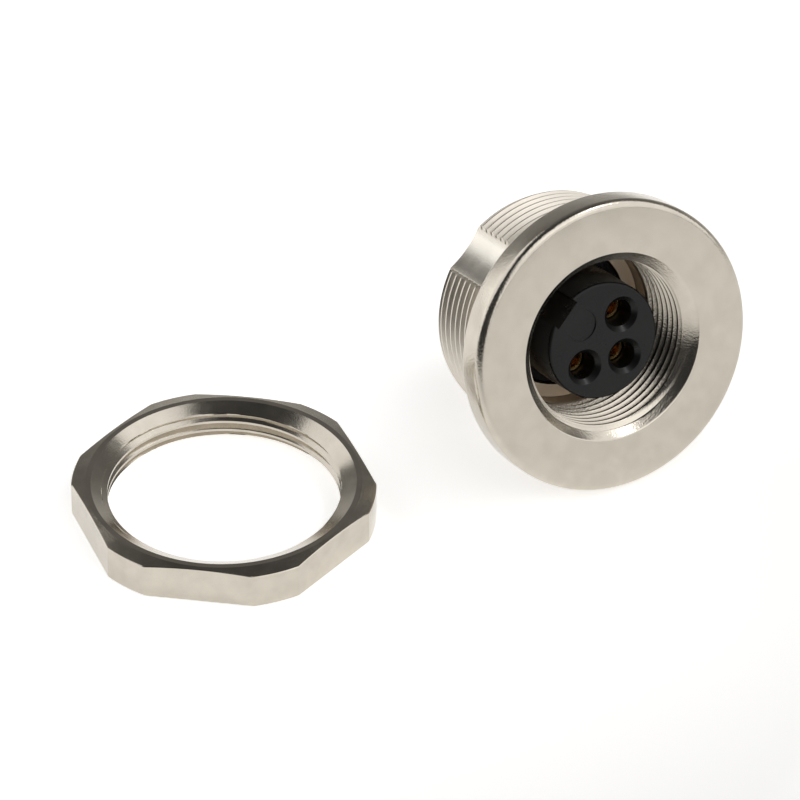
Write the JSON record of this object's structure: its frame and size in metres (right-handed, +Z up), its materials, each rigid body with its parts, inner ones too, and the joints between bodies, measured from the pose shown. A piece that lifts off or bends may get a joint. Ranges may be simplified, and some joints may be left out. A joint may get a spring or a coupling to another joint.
{
  "type": "circular sensor panel mount connector",
  "caption": "Round flanged panel connector with a threaded socket and a keyed black contact carrier, lying beside its thin hexagon panel nut.",
  "frame": {"origin": "on the table, below the middle of the box that holds the connector and its nut", "axes": "+Z up from the table, +X along the longest extent, from the nut to the connector, +Y to the back"},
  "size_m": [0.0332, 0.0216, 0.0148],
  "materials": {
    "nickel_plated_brass": "turned and nickel plated, bright",
    "black_carrier_plastic": "moulded, fine matt",
    "ring_metal": "turned and nickel plated, satin",
    "gold_plated_contact": "turned and gold plated"
  },
  "bodies": {
    "root": {"shell": "nickel_plated_brass", "contact_carrier": "black_carrier_plastic", "retaining_ring": "ring_metal", "contact_1": "gold_plated_contact", "contact_2": "gold_plated_contact", "contact_3": "gold_plated_contact", "panel_nut": "nickel_plated_brass"}
  },
  "joints": []
}
